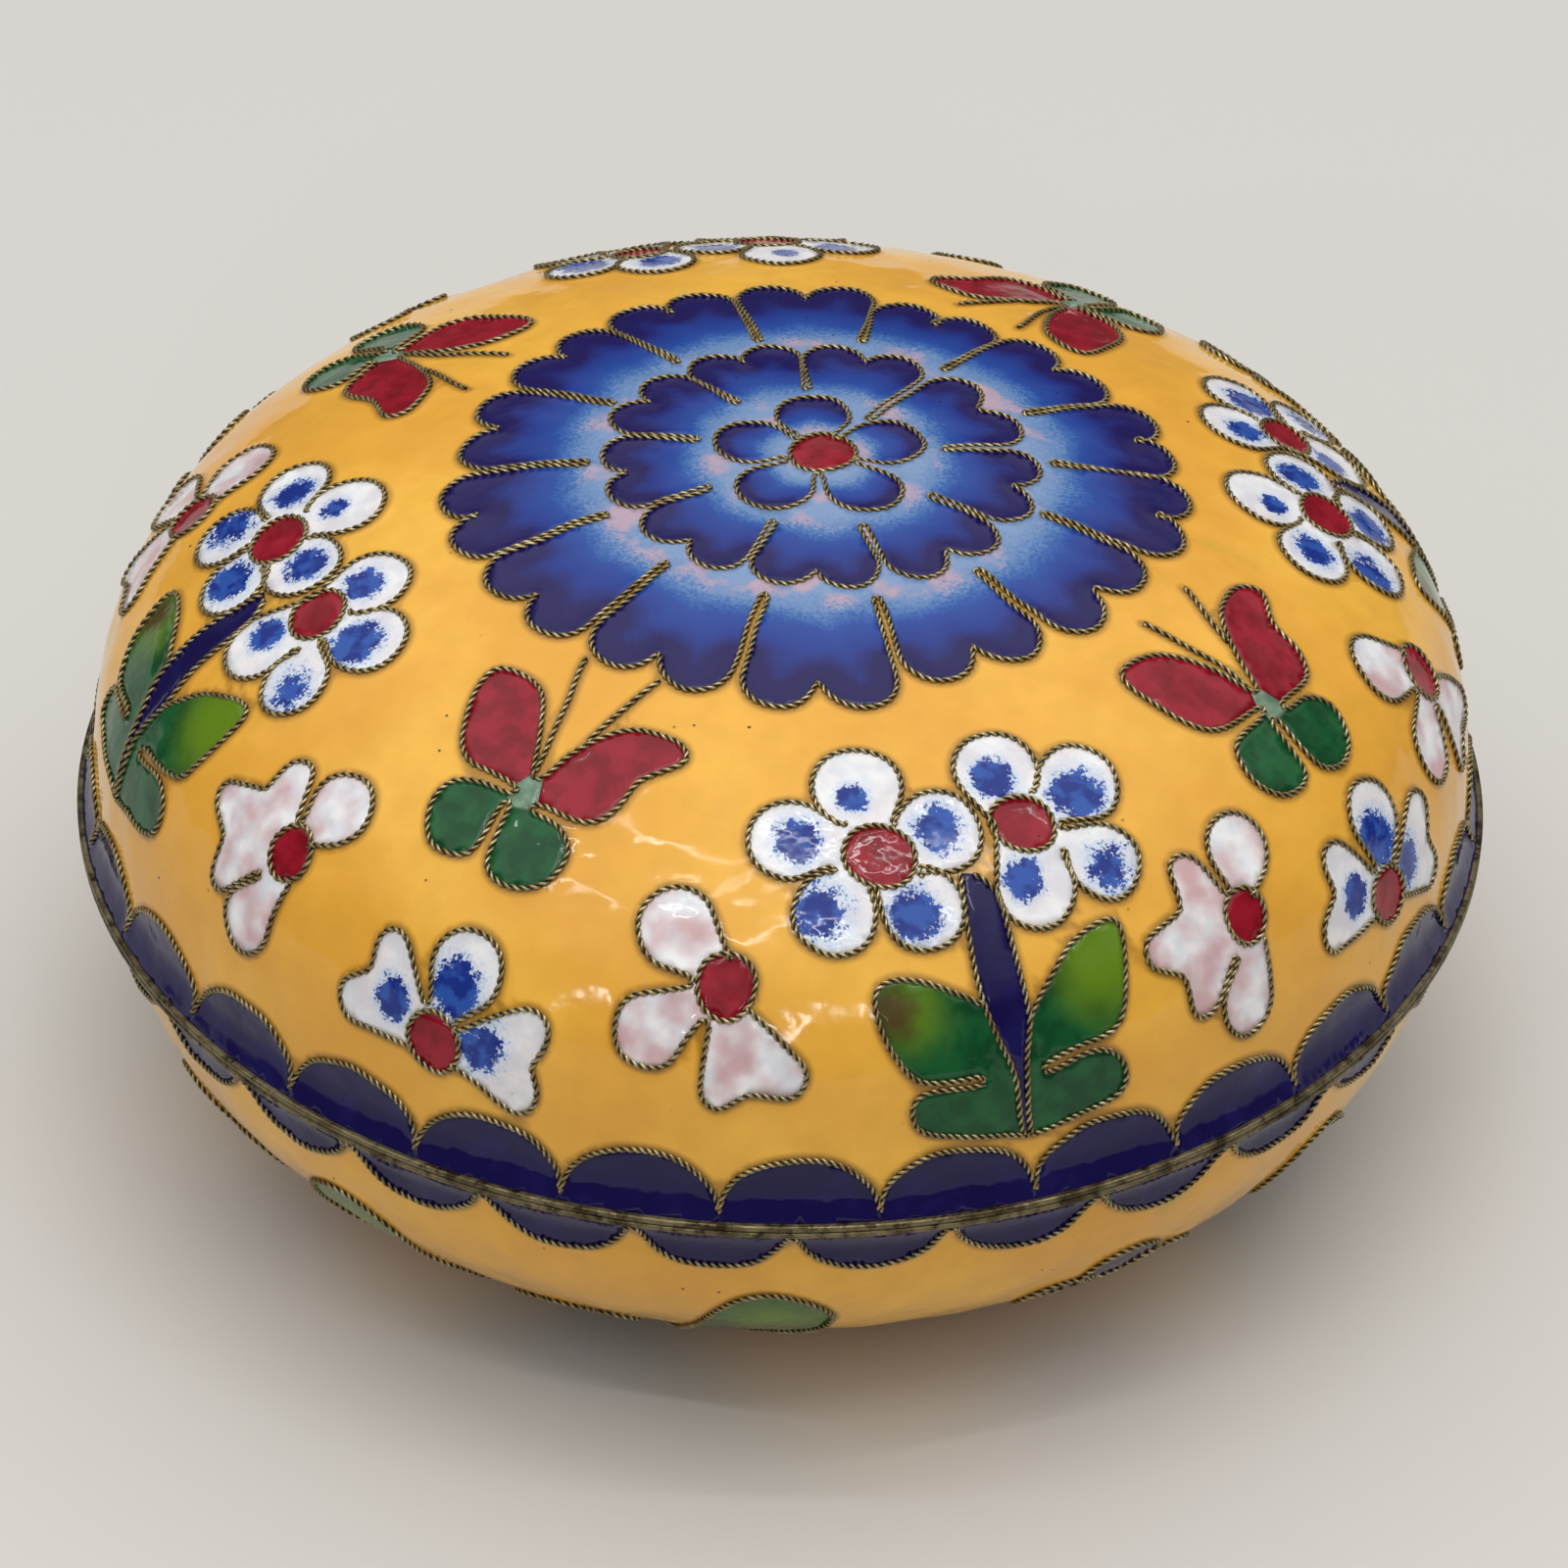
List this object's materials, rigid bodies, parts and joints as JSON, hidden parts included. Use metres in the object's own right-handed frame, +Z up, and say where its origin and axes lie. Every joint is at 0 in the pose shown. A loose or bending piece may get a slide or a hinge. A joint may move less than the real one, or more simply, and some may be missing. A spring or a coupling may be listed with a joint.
{
  "type": "cloisonne enamel box",
  "caption": "Round domed box with a lift-off lid for small keepsakes, enamelled with a wire-outlined rose, flower sprays, butterflies and blossoms on yellow.",
  "frame": {"origin": "centre of the resting face under the foot ring", "axes": "+Z up, the axis that the lid and the bowl are turned about; -Y towards the viewer of the picture, +X to the viewer's right"},
  "size_m": [0.102, 0.102, 0.0544],
  "materials": {
    "yellow_enamel": "glossy fired enamel, amber yellow, slightly wavy with fine pits",
    "brass": "dull worn brass",
    "blue_enamel": "glossy fired enamel, navy at the petals' tips to speckled light blue",
    "white_enamel": "glossy fired enamel, white with ragged blue or pink flushes",
    "green_enamel": "glossy fired enamel, leaf green flushed with yellow",
    "red_enamel": "glossy fired enamel, deep red",
    "wire": "darkened twisted brass wire, bright on its crests"
  },
  "bodies": {
    "root": {"lid_shell": "yellow_enamel", "lid_rim_band": "brass", "base_bowl": "yellow_enamel", "base_rim_and_collar": "brass", "foot_ring": "brass", "rose_outer_wire": "wire", "rose_inner_wire": "wire", "rose_heart_wire": "wire", "spray_wire_front": "wire", "spray_wire_right": "wire", "spray_wire_back": "wire", "spray_wire_left": "wire", "butterfly_wire_1": "wire", "butterfly_wire_2": "wire", "butterfly_wire_3": "wire", "butterfly_wire_4": "wire", "blossom_wire_1": "wire", "blossom_wire_2": "wire", "blossom_wire_3": "wire", "blossom_wire_4": "wire", "blossom_wire_5": "wire", "blossom_wire_6": "wire", "blossom_wire_7": "wire", "blossom_wire_8": "wire", "blossom_wire_9": "wire", "blossom_wire_10": "wire", "blossom_wire_11": "wire", "blossom_wire_12": "wire", "lid_scallop_wire": "wire", "base_scallop_wire": "wire"}
  },
  "joints": []
}
